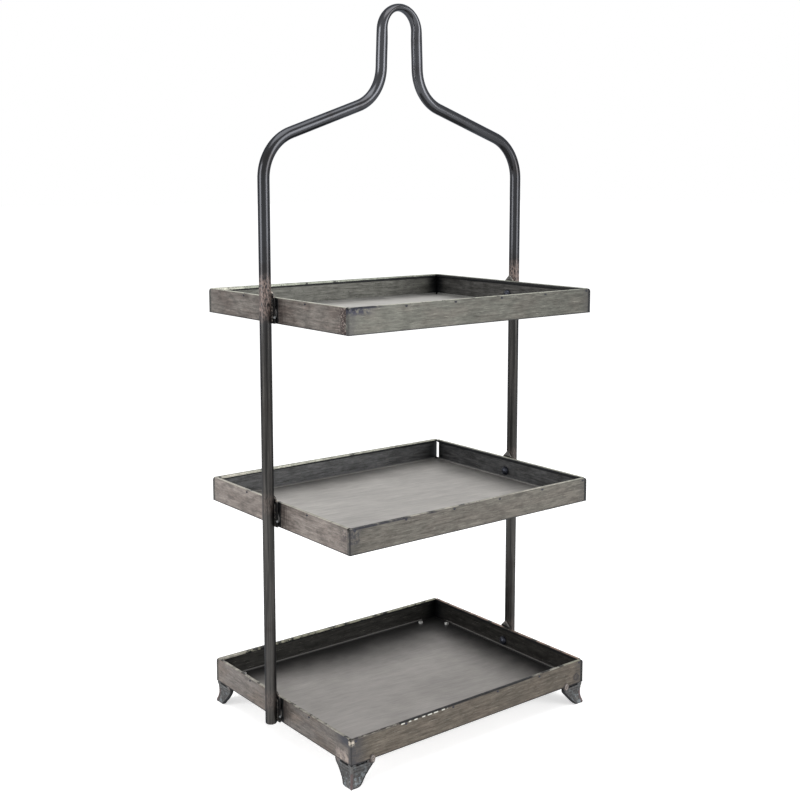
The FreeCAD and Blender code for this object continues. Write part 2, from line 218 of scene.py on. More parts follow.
class Shade(Nodes):
    """A principled material whose colour is laid on in layers. Distances in it are metres."""

    def __init__(self, name, metallic, roughness):
        self.material = bpy.data.materials.new(name)
        self.material.use_nodes = True
        super().__init__(self.material.node_tree)
        self.shader = self.tree.nodes["Principled BSDF"]
        self.put_named(self.shader, Metallic=metallic, Roughness=roughness)
        self.place = self.add("TexCoord").outputs["Object"]
        self.x, self.y, self.z = self.split(self.place)

    def mix(self, factor, a, b):
        node = self.add("Mix", data_type="RGBA")
        for index, value in ((0, factor), (6, a), (7, b)):
            self.put(node.inputs[index], value)
        return node.outputs[2]

    def scale(self, colour, factor):
        """A colour made lighter or darker by a factor."""
        node = self.add("VectorMath", operation="SCALE")
        self.put_named(node, Scale=factor)
        return self.fill(node, (colour,))

    def dim(self, factor):
        """Make the colour so far lighter or darker by a factor."""
        self.colour = self.scale(self.colour, factor)

    def stain(self, tone, *shares):
        """Lay a tone over the colour so far, as much as the shares' product says."""
        self.colour = self.mix(self.times(*shares), self.colour, tone)

    def noise_at(self, place, scale, detail, roughness):
        node = self.add("TexNoise")
        self.put_named(node, Vector=place, Scale=scale, Detail=detail, Roughness=roughness)
        return node.outputs["Fac"]

    def noise(self, scale, detail, roughness=0.55):
        return self.noise_at(self.place, scale, detail, roughness)

    def grain(self, along, across, per_along, per_across, seed, detail=4.0, roughness=0.6):
        """Noise drawn out in one direction, such as brush marks."""
        place = (self.times(along, per_along), self.times(across, per_across), seed)
        return self.noise_at(self.fill(self.add("CombineXYZ"), place), 1.0, detail, roughness)

    def mark(self, name):
        """A number that the mesh carries at its points."""
        return self.add("Attribute", attribute_name=name).outputs["Fac"]

    def upward(self):
        """How far the surface faces up."""
        return self.split(self.add("NewGeometry").outputs["Normal"])[2]

    def bump(self, height, distance, strength):
        """Relief on top of the relief so far."""
        node = self.add("Bump")
        self.put_named(node, Strength=strength, Distance=distance, Height=height)
        normal = self.shader.inputs["Normal"]
        if normal.is_linked:
            self.put_named(node, Normal=normal.links[0].from_socket)
        self.put(normal, node.outputs[0])

    def finish(self, roughness):
        self.put(self.shader.inputs["Base Color"], self.colour)
        self.put(self.shader.inputs["Roughness"], roughness)
        return self.material


def look_of(tier, looks):
    """A tray's column in a table of looks."""
    return {key: values[TIERS.index(tier)] for key, values in looks.items()}


def tube_material():
    """Dark polished tube, duller low down, its colour raised towards the handle as a painted highlight: faint
    lengthwise streaks, and pinkish burns by the welds.
    """
    s = Shade("frame_tube_lacquer", 1.0, 0.28)
    s.shader.inputs["Specular Tint"].default_value = (0.5, 0.52, 0.55, 1.0)
    around, along, _ = s.split(s.add("UVMap", uv_map="along").outputs[0])
    streak = s.grain(around, along, 260.0, 5.0, 0.0, 4.0)
    hair = s.grain(around, along, 900.0, 22.0, 2.0, 3.0)
    cloud = s.noise(22.0, 4.0, 0.6)
    age = s.ramp(s.z, 0.72, 0.5)
    polished = s.mix(s.ramp(streak, 0.36, 0.66), (0.033, 0.034, 0.037), (0.041, 0.042, 0.046))
    # the polished colour is raised up to 1.65 times towards the handle: a painted highlight that brightens
    # its reflections there
    polished = s.scale(polished, s.ramp(s.z, 0.80, 0.92, 1.0, 1.65))
    dull = s.mix(s.ramp(streak, 0.38, 0.62), (0.028, 0.0275, 0.027), (0.068, 0.065, 0.062))
    dull = s.scale(dull, s.ramp(s.z, 0.30, 0.44, 1.0, 0.7))
    s.colour = s.mix(age, polished, dull)
    s.stain((0.024, 0.020, 0.018), s.ramp(cloud, 0.5, 0.7, 0.0, 0.4))
    s.stain((0.15, 0.145, 0.13), s.ramp(hair, 0.6, 0.72, 0.0, 0.3), s.between(age, 0.3, 1.0))
    rim_top = (LEVELS["top"] + RIM_HEIGHT) * MM
    burnt = s.band(s.z, rim_top - 0.014, rim_top + 0.014, 0.022)
    for tier in ("bottom", "middle"):
        floor = LEVELS[tier] * MM
        spot = s.band(s.z, floor + 0.028, floor + 0.04, 0.012)
        burnt = s.larger(burnt, s.times(spot, 0.25))
    burnt = s.times(burnt, s.ramp(s.grain(around, along, 800.0, 170.0, 5.0), 0.42, 0.56))
    s.stain(s.mix(s.noise(300.0, 3.0), (0.085, 0.058, 0.05), (0.36, 0.28, 0.245)), burnt, 0.85)
    s.bump(streak, 0.00006, 0.3)
    s.bump(s.noise(40.0, 2.0), 0.0003, 0.15)
    s.put(s.shader.inputs["Metallic"], s.between(burnt, 1.0, 0.15))
    worn = s.plus(s.ramp(streak, 0.3, 0.7, 0.17, 0.25), s.times(age, 0.2))
    return s.finish(s.plus(worn, s.times(burnt, 0.25)))


# Looks for the bottom, middle and top tray. "right" and "near" are how much lighter a front is at its
# right end and a side at its near end; "wall" and "side_wall" are the inner faces, painted darker on the
# lower trays as the shade of the trays above. "hem" and "far_hem" are partly worn and partly a painted
# highlight.
RIM_LOOK = {
    "front": ((0.101, 0.088, 0.072), (0.084, 0.079, 0.069), (0.087, 0.087, 0.076)),
    "right": (0.8, 1.34, 0.86),
    "side": ((0.152, 0.136, 0.126), (0.205, 0.18, 0.164), (0.132, 0.119, 0.108)),
    "near": (0.66, 0.87, 1.08),
    "patina": ((0.12, 0.095, 0.078), (0.11, 0.09, 0.08), (0.085, 0.066, 0.058)),
    "hem": ((0.36, 0.345, 0.3), (0.47, 0.45, 0.39), (0.46, 0.46, 0.39)),
    "far_hem": ((0.27, 0.265, 0.205), (0.4, 0.4, 0.34), (0.3, 0.315, 0.265)),
    "wall": ((0.036, 0.035, 0.032), (0.095, 0.096, 0.098), (0.135, 0.135, 0.122)),
    "side_wall": ((0.04, 0.038, 0.035), (0.085, 0.086, 0.088), (0.085, 0.083, 0.08)),
    "corner_line": (0.6, 0.85, 0.35),
    "top_line": (0.0, 0.13, 0.04),
    "worn": (0.4, 0.34, 0.34),
}
# Near-black for soot, and for painted shade in gaps, corners, under hems and along lower edges
SOOT_AND_SHADE = (0.012, 0.013, 0.015)
# How near its outer face a point is, in metres, to be on a long rim or on the outside of a rim
LONG_RIM_DEPTH, OUTSIDE_DEPTH = 0.0057, 0.00085


def rim_material(tier):
    """Hand-brushed steel with brown patina; painted shade in the inner corners, beside the joints, under the
    hem and along the lower edge; pale hems, partly worn and partly a painted highlight.
    """
    look = look_of(tier, RIM_LOOK)
    s = Shade(tier + "_rim_steel", 0.85, 0.45)
    height = s.minus(s.z, LEVELS[tier] * MM)
    off_middle = s.math("ABSOLUTE", s.y)
    from_x = s.minus(HALF_X, s.math("ABSOLUTE", s.x))
    from_y = s.minus(HALF_Y, off_middle)
    along = s.plus(s.x, s.y)
    corner_gap = s.larger(from_x, from_y)
    near_gap = s.plus(along, (HALF_LENGTH + HALF_WIDTH) * MM)
    is_long = s.below(from_y, LONG_RIM_DEPTH)
    is_short = s.minus(1.0, is_long)
    outer = s.below(s.math("MINIMUM", from_x, from_y), OUTSIDE_DEPTH)
    inner = s.minus(1.0, outer)
    strokes = s.grain(along, s.z, 26.0, 330.0, 0.0, 5.0)
    fine = s.grain(along, s.z, 90.0, 950.0, 3.0, 3.0)
    smudge = s.grain(along, s.z, 60.0, 125.0, 5.0, 5.0, 0.65)
    cloud = s.grain(along, s.z, 15.0, 42.0, 9.0, 3.0)
    pits = s.noise(430.0, 3.0, 0.6)
    blotch = s.noise(190.0, 5.0, 0.7)

    # brushed field
    s.colour = s.mix(is_long, look["side"], look["front"])
    to_right = s.linear(s.x, -HALF_X, HALF_X, 1.0, look["right"])
    to_far = s.linear(s.y, -HALF_Y, HALF_Y, look["near"], 1.0)
    s.dim(s.linear(is_long, 0.0, 1.0, to_far, to_right))
    s.stain(look["patina"], s.ramp(cloud, 0.42, 0.62), s.between(is_long, 0.6, 0.2))
    # the inner faces take the wall tones, which are painted darker on the lower trays as shade
    s.stain(s.mix(is_long, look["side_wall"], look["wall"]), inner)
    s.dim(s.linear(strokes, 0.3, 0.7, 0.62, 1.42))
    s.dim(s.linear(fine, 0.3, 0.7, 0.76, 1.24))
    s.dim(s.ramp(smudge, 0.34, 0.58, s.between(is_long, 0.7, 0.82), 1.08))
    scratch = s.grain(along, s.z, 34.0, 1500.0, 7.0, 2.0)
    s.stain((0.36, 0.35, 0.31), s.ramp(scratch, 0.64, 0.72, 0.0, 0.5))
    s.stain((0.04, 0.037, 0.036), s.ramp(pits, 0.62, 0.7, 0.0, 0.7))

    # stains by the joints and corners, and painted shade beside the joints and in the inner corners
    runs = s.ramp(s.grain(s.z, along, 30.0, 260.0, 2.0), 0.4, 0.58)
    # painted shade, in streaks, on the short rims' outer faces beside the bracket
    s.stain((0.05, 0.038, 0.036), is_short, outer, s.fade(off_middle, 0.012, 0.042), runs, 0.75)
    ragged = s.plus(off_middle, s.times(blotch, 0.006))
    # painted shadow of the gap between tube and rim: a near-black strip beside the bracket
    s.stain(SOOT_AND_SHADE, is_short, outer, s.fade(ragged, 0.0145, 0.0165, 0.95))
    smoke = s.times(s.fade(from_x, 0.002, 0.022, 0.7), s.ramp(blotch, 0.35, 0.55))
    s.stain((0.055, 0.053, 0.053), outer, is_long, smoke)
    # painted shade in the inner corners
    s.stain(SOOT_AND_SHADE, inner, s.fade(corner_gap, 0.004, 0.030, 0.92))
    corner_wear(s, tier, near_gap, height, is_long, blotch)

    # folded hem: pale on top and, at the back, on its inner face, partly worn and partly a painted highlight;
    # a painted shadow below it on the inner face
    hem_line = s.linear(s.x, -HALF_X, HALF_X, 0.0306, 0.0328)
    back = s.below((HALF_WIDTH - HEM_WIDTH - 0.6) * MM, s.y)
    inner_hem = s.times(back, is_long, inner, s.below(hem_line, height))
    # the hem is pale only where it faces up and on the back's inner face, which makes it partly a painted
    # highlight
    hem = s.larger(s.times(s.ramp(s.upward(), 0.35, 0.85), s.ramp(height, 0.0305, 0.033)), inner_hem)
    far = s.ramp(along, -0.03, 0.03)
    hem_colour = s.mix(far, look["hem"], look["far_hem"])
    hem_colour = s.scale(hem_colour, s.ramp(s.noise(90.0, 4.0, 0.6), 0.3, 0.65, 0.7, 1.1))
    if tier == "bottom":
        hem_colour = s.mix(s.times(is_short, far), hem_colour, (0.30, 0.215, 0.175))
    worn = s.ramp(s.noise(48.0, 5.0, 0.65), look["worn"], look["worn"] + 0.1)
    # painted shadow on the inner face under the hem
    s.stain(SOOT_AND_SHADE, inner, s.band(height, 0.0285, 0.0328, 0.0008), s.fade(s.upward(), 0.1, 0.4), 0.88)
    s.stain(hem_colour, hem, worn)

    # dark outlines
    broken = s.ramp(s.grain(along, s.z, 24.0, 0.0, 11.0), 0.4, 0.52)
    reach = s.ramp(near_gap, look["top_line"], look["top_line"] + 0.02, 0.9, 0.15)
    top_line = s.times(s.ramp(height, 0.0312, 0.0326), s.larger(outer, hem), broken, reach)
    s.stain((0.014, 0.015, 0.022), top_line, is_long)
    # painted shade along the rim's lower edge
    s.stain(SOOT_AND_SHADE, s.fade(height, 0.0005, 0.0021, 0.85))
    at_near_corner = s.ramp(near_gap, 0.01, 0.02, look["corner_line"], 1.0)
    end_width = s.ramp(s.x, 0.1, 0.2, 0.0, 0.003)
    end_line = s.times(s.fade(s.minus(corner_gap, end_width), 0.0006, 0.003, 0.95), at_near_corner)
    s.stain(SOOT_AND_SHADE, end_line, s.ramp(pits, 0.3, 0.5, 0.6, 1.0))
    if tier == "bottom":
        worn_front_edge(s, height)
        plug_stain(s, height)
    s.stain((0.025, 0.026, 0.034), s.mark("tack"))
    s.bump(strokes, 0.0002, 0.5)
    s.bump(smudge, 0.0003, 0.35)
    s.bump(s.noise(35.0, 3.0), 0.0007, 0.3)
    return s.finish(s.ramp(strokes, 0.3, 0.7, 0.38, 0.54))


def corner_wear(s, tier, near_gap, height, is_long, blotch):
    """Burnt blotches and pale flecks beside a tray's near left corner."""
    is_short = s.minus(1.0, is_long)
    specks = s.noise(420.0, 3.0, 0.6)
    if tier == "top":
        ragged = s.plus(near_gap, s.times(s.minus(blotch, 0.5), 0.05))
        burnt = s.times(is_short, s.fade(ragged, 0.014, 0.026))
        s.stain((0.026, 0.017, 0.016), burnt, s.ramp(blotch, 0.40, 0.50), 0.94)
        s.stain((0.36, 0.29, 0.265), burnt, s.ramp(specks, 0.55, 0.63), 0.7)
        smear = s.times(is_long, s.fade(near_gap, 0.026, 0.044), s.ramp(height, 0.021, 0.029))
        s.stain((0.022, 0.023, 0.036), smear, s.ramp(blotch, 0.38, 0.52), 0.9)
    elif tier == "middle":
        smear = s.times(s.fade(near_gap, 0.012, 0.026), s.band(height, 0.016, 0.029, 0.004))
        s.stain((0.036, 0.036, 0.042), smear, s.ramp(blotch, 0.46, 0.58), 0.7)
    else:
        uneven = s.ramp(blotch, 0.3, 0.6, 0.6, 1.0)
        s.stain((0.05, 0.05, 0.056), is_long, s.fade(near_gap, 0.004, 0.034, 0.75), uneven)
        smear = s.times(s.fade(near_gap, 0.012, 0.04), s.ramp(height, 0.020, 0.028))
        s.stain((0.03, 0.033, 0.045), is_short, smear, 0.85)
        patch = s.times(is_short, s.band(near_gap, 0.012, 0.026, 0.014), s.fade(height, 0.006, 0.022))
        s.stain((0.38, 0.32, 0.29), patch, s.ramp(blotch, 0.36, 0.6), 0.75)
        tip = s.times(s.fade(near_gap, 0.004, 0.007), s.ramp(height, 0.024, 0.03))
        s.stain((0.5, 0.45, 0.38), tip, s.ramp(specks, 0.36, 0.48))


def worn_front_edge(s, height):
    """Mottled hem of the lowest front rim: black for a stretch at its left, over a row of pale chips."""
    front = s.below(s.y, -(HALF_WIDTH - HEM_WIDTH) * MM)
    wander = s.grain(s.x, s.z, 60.0, 0.0, 4.0)
    crest = s.times(front, s.ramp(height, 0.0322, 0.0336))
    mottle = s.times(s.band(s.x, -0.21, -0.135, 0.006), s.ramp(s.noise(260.0, 4.0), 0.42, 0.55, 0.25, 0.95))
    s.stain((0.07, 0.062, 0.056), crest, mottle)
    black = s.larger(s.band(s.x, -0.132, -0.04, 0.003), s.band(s.x, -0.04, 0.10, 0.03))
    s.stain(SOOT_AND_SHADE, crest, black, s.ramp(wander, 0.3, 0.45, 0.5, 0.95))
    outside = s.below(s.y, -(HALF_WIDTH - 1.3) * MM)
    beat = s.math("FRACT", s.plus(s.times(s.x, 1 / 0.0112), s.times(wander, 1.6)))
    dash = s.times(s.band(beat, 0.25, 0.7, 0.1), s.band(s.x, -0.130, -0.052, 0.002), s.ramp(wander, 0.3, 0.4))
    s.stain((0.46, 0.46, 0.42), outside, s.band(height, 0.0318, 0.0330, 0.0005), dash)


def plug_stain(s, height):
    """Smoky disc inside the plug ring on the lowest front rim."""
    across = s.minus(s.x, PLUG_X * MM)
    rise = s.minus(height, PLUG_HEIGHT * MM)
    far = s.math("SQRT", s.plus(s.times(across, across), s.times(rise, rise)))
    front = s.below(s.y, -(HALF_WIDTH - 1.0) * MM)
    smoke = s.ramp(s.noise(300.0, 4.0), 0.3, 0.6, 0.5, 1.0)
    s.stain((0.04, 0.038, 0.042), front, s.fade(far, 0.003, 0.0085, 0.6), smoke)


# A floor darkens to "at_far" and "at_near" of itself at the walls: partly patina, partly painted shade and
# painted reflection of the dark walls. At the far walls it lasts from "start" to "reach" metres, and
# "right_pull" makes it narrower at the right wall than at the back.
FLOOR_LOOK = {
    # the middle tray's tones are painted lighter to make up for the shade of the tray above
    "light": ((0.4, 0.38, 0.365), (0.6, 0.58, 0.555), (0.45, 0.44, 0.42)),
    "dark": ((0.32, 0.305, 0.29), (0.52, 0.5, 0.48), (0.4, 0.39, 0.37)),
    "lip": ((0.13, 0.125, 0.12), (0.11, 0.11, 0.108), (0.17, 0.17, 0.16)),
    "at_far": (0.02, 0.27, 0.3),
    "start": (0.01, -0.015, -0.015),
    "reach": (0.145, 0.085, 0.05),
    "at_near": (1.0, 0.32, 0.8),
    "right_pull": (1.3, 1.0, 1.0),
}
BRUSH_SLANT = radians(-7)


def floor_material(tier):
    """Sheet steel brushed by hand, darker along the rims, most at the back: partly patina, partly painted
    shade and reflection of the walls.
    """
    look = look_of(tier, FLOOR_LOOK)
    pull = look["right_pull"]
    s = Shade(tier + "_floor_steel", 0.25, 0.52)
    ahead, aside = cos(BRUSH_SLANT), sin(BRUSH_SLANT)
    along = s.plus(s.times(s.x, ahead), s.times(s.y, aside))
    across = s.minus(s.times(s.y, ahead), s.times(s.x, aside))
    across = s.plus(across, s.times(s.noise(12.0, 2.0), 0.02))
    strokes = s.grain(along, across, 14.0, 110.0, LEVELS[tier], 5.0)
    fine = s.grain(along, across, 45.0, 420.0, LEVELS[tier], 3.0)
    cloud = s.noise(9.0, 4.0, 0.6)
    s.colour = s.mix(s.ramp(cloud, 0.35, 0.7), look["light"], look["dark"])
    s.dim(s.linear(strokes, 0.3, 0.7, 0.88, 1.12))
    s.dim(s.linear(fine, 0.3, 0.7, 0.9, 1.1))
    uneven = s.times(s.minus(s.noise(16.0, 4.0, 0.6), 0.5), 0.05)
    from_back = s.times(s.minus(HALF_Y, s.y), s.ramp(s.x, -0.2, 0.0, pull ** 2, 1.0))
    from_right = s.times(s.minus(HALF_X, s.x), pull)
    far_gap = s.plus(s.math("SMOOTH_MIN", from_back, from_right, 0.05), uneven)
    near_gap = s.plus(s.math("SMOOTH_MIN", s.plus(s.y, HALF_Y), s.plus(s.x, HALF_X), 0.03), uneven)
    # darkening by the far and near walls: partly patina, partly painted shade and painted reflection of the
    # walls
    s.dim(s.ramp(far_gap, look["start"], look["reach"], look["at_far"], 1.0))
    s.dim(s.ramp(near_gap, 0.0, 0.06, look["at_near"], 1.0))
    level = LEVELS[tier] * MM
    # the upturned lip is painted dark as shade
    s.stain(look["lip"], s.ramp(s.z, level + 0.0016, level + 0.003))
    s.bump(strokes, 0.00012, 0.3)
    s.bump(s.noise(7.0, 2.0), 0.001, 0.2)
    return s.finish(s.ramp(strokes, 0.3, 0.7, 0.5, 0.6))


def plain_steel(name, base, second, metallic, rough):
    """Small hardware: one tone with another over it in grains."""
    s = Shade(name, metallic, rough)
    grain = s.noise(160.0, 5.0, 0.65)
    s.colour = s.mix(s.ramp(grain, 0.35, 0.68), base, second)
    s.bump(grain, 0.0003, 0.5)
    return s.finish(s.ramp(grain, 0.3, 0.7, rough - 0.06, rough + 0.1))


def bracket_material():
    """Near-black bracket and weld, painted shade standing for the shadowed gap between tube and rim, with
    pale spatter on the ear, most on the top tray.
    """
    s = Shade("bracket_steel", 0.3, 0.5)
    grain = s.noise(260.0, 5.0, 0.65)
    # near-black base colour: painted shade of the gap between tube and rim
    s.colour = s.mix(s.ramp(grain, 0.4, 0.7), (0.006, 0.006, 0.007), (0.022, 0.020, 0.019))
    top = LEVELS["top"] * MM
    spatter = s.times(s.ramp(s.noise(330.0, 3.0, 0.6), 0.46, 0.56), s.ramp(s.z, top - 0.01, top, 0.45, 1.0))
    s.stain((0.55, 0.48, 0.42), s.mark("pale"), spatter)
    s.stain((0.13, 0.125, 0.12), s.mark("grey"), s.ramp(grain, 0.3, 0.6, 0.3, 1.0))
    s.stain((0.30, 0.31, 0.32), s.mark("nub"))
    s.bump(grain, 0.0005, 0.6)
    return s.finish(s.ramp(grain, 0.3, 0.7, 0.5, 0.7))


def foot_material():
    """Cast iron: black along its outline, its bottom and its inner faces as painted shade, darker in its
    recesses as painted shade, mottled grey inside, bluish at the toe, rusty on the ridge.
    """
    s = Shade("foot_cast_iron", 0.35, 0.5)
    relief, edge, ridge, ear = (s.mark(name) for name in FOOT_MARKS)
    grain = s.noise(330.0, 5.0, 0.65)
    patch = s.noise(190.0, 4.0, 0.65)
    # lighter on raised relief and darker in its recesses: painted shade
    s.colour = s.mix(s.ramp(relief, -0.25, 0.45), (0.022, 0.022, 0.023), (0.080, 0.078, 0.076))
    s.dim(s.linear(grain, 0.32, 0.68, 0.4, 1.6))
    low_down = s.ramp(s.z, 0.004, 0.026, 1.0, 0.35)
    s.stain((0.165, 0.19, 0.205), s.ramp(patch, 0.5, 0.62), s.ramp(edge, 3.0, 4.6), low_down, 0.8)
    s.stain((0.16, 0.12, 0.11), s.ramp(s.z, 0.026, 0.031), s.fade(edge, 7.0, 11.0), 0.75)
    rust = s.times(s.fade(ridge, 1.2, 3.4), s.ramp(s.z, 0.022, 0.018), s.ramp(patch, 0.36, 0.5, 0.5, 1.0))
    s.stain((0.075, 0.042, 0.042), rust, 0.85)
    # painted shade: black along the rounded outline, at the bottom by the floor, and on the inner faces
    outline = s.larger(s.fade(edge, 2.6, 4.6, 0.98), s.fade(s.z, 0.0006, 0.0022, 0.9))
    s.stain(SOOT_AND_SHADE, outline)
    s.stain((0.26, 0.225, 0.20), ear, s.ramp(relief, 0.0, 0.7), 0.85)
    s.bump(grain, 0.0005, 0.6)
    return s.finish(s.ramp(outline, 0.1, 0.8, s.ramp(grain, 0.3, 0.7, 0.45, 0.6), 0.9))


TUBE_STEEL = tube_material()
RIM_STEEL = {tier: rim_material(tier) for tier in TIERS}
FLOOR_STEEL = {tier: floor_material(tier) for tier in TIERS}
BRACKET_STEEL = bracket_material()
BOLT_BLACK = plain_steel("bolt_black", (0.010, 0.012, 0.02), (0.04, 0.044, 0.06), 0.6, 0.35)
ZINC = plain_steel("zinc_hardware", (0.30, 0.295, 0.29), (0.42, 0.41, 0.40), 0.9, 0.4)
BRIGHT_ZINC = plain_steel("bright_zinc_nuts", (0.40, 0.40, 0.39), (0.58, 0.58, 0.56), 0.4, 0.4)
FOOT_IRON = foot_material()


# ---- Making pieces ----


def new_object(name, data):
    """An object in the scene that shows some data."""
    thing = bpy.data.objects.new(name, data)
    bpy.context.scene.collection.objects.link(thing)
    return thing


def make(name, shape, material, nodes, sharp=35.0, marks=None):
    """One dressed piece from millimetre points. It replaces its CAD nodes and rides on the stand."""
    verts, faces = shape
    mesh = bpy.data.meshes.new(name)
    mesh.from_pydata([Vector(v) * MM for v in verts], [], faces)
    for title, values in (marks or {}).items():
        mesh.attributes.new(title, "FLOAT", "POINT").data.foreach_set("value", values)
    work = bmesh.new()
    work.from_mesh(mesh)
    bmesh.ops.remove_doubles(work, verts=work.verts, dist=SAME_POINT)
    bmesh.ops.recalc_face_normals(work, faces=work.faces)
    work.to_mesh(mesh)
    work.free()
    for polygon in mesh.polygons:
        polygon.use_smooth = True
    mesh.set_sharp_from_angle(angle=radians(sharp))
    mesh.materials.append(material)
    piece = new_object(name, mesh)
    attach(piece, "root")
    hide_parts(*nodes)
    return piece


def loft(rings, wrap=False):
    """Vertices and faces that join equal closed rings of points; wrap joins the last to the first."""
    verts = [point for ring in rings for point in ring]
    size, count = len(rings[0]), len(rings)
    faces = []
    for row in range(count if wrap else count - 1):
        low, high = row * size, (row + 1) % count * size
        for index in range(size):
            after = (index + 1) % size
            faces.append((low + index, low + after, high + after, high + index))
    if not wrap:
        faces += [tuple(range(size)), tuple(range(len(verts) - size, len(verts)))]
    return verts, faces


def grid(start, rows, stride):
    """Faces between rows of stride points each, counted from a start."""
    corners = [start + row * stride + column for row in range(rows) for column in range(stride - 1)]
    return [(a, a + 1, a + stride + 1, a + stride) for a in corners]


def turns(steps):
    """Angles of a full turn."""
    return [2 * pi * step / steps for step in range(steps)]


def spun(profile, centre, axis, steps, wrap=False):
    """A (radius, distance along the axis) profile turned about an axis."""
    axis = Vector(axis).normalized()
    side = axis.orthogonal().normalized()
    other = axis.cross(side)
    rings = []
    for radius, distance in profile:
        base = Vector(centre) + axis * distance
        rings.append([base + (side * cos(a) + other * sin(a)) * radius for a in turns(steps)])
    return loft(rings, wrap)


def join(parts):
    """Several (verts, faces) in one."""
    verts, faces = [], []
    for more, polygons in parts:
        offset = len(verts)
        verts += more
        faces += [tuple(index + offset for index in polygon) for polygon in polygons]
    return verts, faces


def spread(parts, values):
    """For every point of some parts, its part's value."""
    return [value for part, value in zip(parts, values) for point in part[0]]


# ---- Frame tube ----


def arc_points(before, corner, after, radius):
    """Points of the tangent arc at a corner."""
    back = (before - corner).normalized()
    ahead = (after - corner).normalized()
    half = back.angle(ahead) / 2
    start = corner + back * (radius / tan(half))
    end = corner + ahead * (radius / tan(half))
    centre = corner + (back + ahead).normalized() * (radius / sin(half))
    turn = pi - 2 * half
    axis = (start - centre).cross(end - centre).normalized()
    count = max(4, int(degrees(turn) / ARC_STEP))
    return [centre + Matrix.Rotation(turn * i / count, 3, axis) @ (start - centre) for i in range(count + 1)]


def tube_line():
    """Centre line of the right half, from the floor end to the top of the handle."""
    start = Vector((TUBE_X, 0, TUBE_END))
    shoulder = Vector((TUBE_X, 0, SHOULDER_HEIGHT))
    neck = Vector((HANDLE_RADIUS, 0, NECK_HEIGHT))
    line = [start] + arc_points(start, shoulder, neck, SHOULDER_BEND)
    line += arc_points(shoulder, neck, Vector((HANDLE_RADIUS, 0, HANDLE_CENTRE)), NECK_BEND)
    for angle in turns(4 * HANDLE_STEPS)[:HANDLE_STEPS + 1]:
        reach = Vector((cos(angle), 0, sin(angle))) * HANDLE_RADIUS
        line.append(Vector((0, 0, HANDLE_CENTRE)) + reach)
    dense = [line[0]]
    for point in line[1:]:
        start = dense[-1]
        gap = (point - start).length
        if gap < 0.01:
            continue
        count = max(1, round(gap / LINE_STEP))
        dense += [start.lerp(point, (i + 1) / count) for i in range(count)]
    return dense


def smooth(value):
    """0 to 1 with soft ends."""
    value = max(0.0, min(1.0, value))
    return value * value * (3 - 2 * value)


def lean(point):
    """The handle's legs draw together a little towards its top."""
    share = smooth((point.z - HANDLE_CENTRE + LEAN_LENGTH) / LEAN_LENGTH)
    return Vector((point.x * (1 - share * HANDLE_LEAN / HANDLE_RADIUS), 0, point.z))


def frame_tube():
    """The bent tube, flattened by the handle's tight bend, with its length and girth as a UV map."""
    right = [lean(point) for point in tube_line()]
    line = right + [Vector((-p.x, 0, p.z)) for p in reversed(right[:-1])]
    across = Vector((0, 1, 0))
    rings, travel = [], [0.0]
    for index, point in enumerate(line):
        tangent = (line[min(index + 1, len(line) - 1)] - line[max(index - 1, 0)]).normalized()
        side = across.cross(tangent).normalized()
        rise = point.z - HANDLE_CENTRE + FLAT_BELOW_CENTRE
        flat = HANDLE_FLATTENING * smooth(rise / (HANDLE_RADIUS + FLAT_BELOW_CENTRE))
        ring = []
        for step, angle in enumerate(turns(TUBE_SIDES)):
            direction = side * cos(angle) * (1 - flat) + across * sin(angle) * (1 + 0.4 * flat)
            ripple = 0.02 * noise.noise(Vector((step * 0.4, index * 0.15, 0)))
            ring.append(point + direction * (TUBE_RADIUS - SKIN + ripple))
        rings.append(ring)
        if index:
            travel.append(travel[-1] + (point - line[index - 1]).length)
    piece = make("frame_tube_dressed", loft(rings), TUBE_STEEL, ["frame_tube"], sharp=50)
    layer = piece.data.uv_layers.new(name="along")
    girth = 2 * pi * TUBE_RADIUS * MM
    for loop in piece.data.loops:
        row, step = divmod(loop.vertex_index, TUBE_SIDES)
        layer.data[loop.index].uv = (abs(step - TUBE_SIDES / 2) / TUBE_SIDES * girth, travel[row] * MM)


def end_cap(side, name):
    """Closed lower end of an upright."""
    profile = [(POINTED, 0.0), (6.6, 0.0), (7.25, 0.22), (7.75, 0.72)]
    profile += [(7.95, 1.4), (7.95, 2.0), (POINTED, 2.0)]
    shape = spun(profile, (side * TUBE_X, 0, CAP_BOTTOM), (0, 0, 1), TUBE_SIDES)
    node = "tube_end_cap_" + name
    piece = make(node + "_dressed", shape, TUBE_STEEL, [node], sharp=60)
    layer = piece.data.uv_layers.new(name="along")
    for loop in piece.data.loops:
        place = piece.data.vertices[loop.vertex_index].co
        layer.data[loop.index].uv = (place.x + place.y, place.z)


frame_tube()
end_cap(-1, "left")
end_cap(1, "right")


# ---- Trays ----


def rim_section(hem_depth):
    """(depth from the outer face, height) points of a rim with its folded hem."""
    top = RIM_HEIGHT
    low = top - hem_depth
    back = HEM_WIDTH - RIM_SHEET
    bend = [(HEM_ROUNDING * (1 - cos(a)), HEM_ROUNDING * (1 - sin(a))) for a in turns(16)[:5]]
    section = [(0, 0), (0, 2), (0, 8), (0, 16), (0, 24), (0, 30)]
    section += [(across, top - drop) for across, drop in bend]
    section += [(HEM_WIDTH - drop, top - across) for across, drop in bend]
    section += [(HEM_WIDTH, low), (back, low), (back, top - RIM_SHEET), (RIM_SHEET, top - RIM_SHEET)]
    return section + [(RIM_SHEET, 16), (RIM_SHEET, 0)]


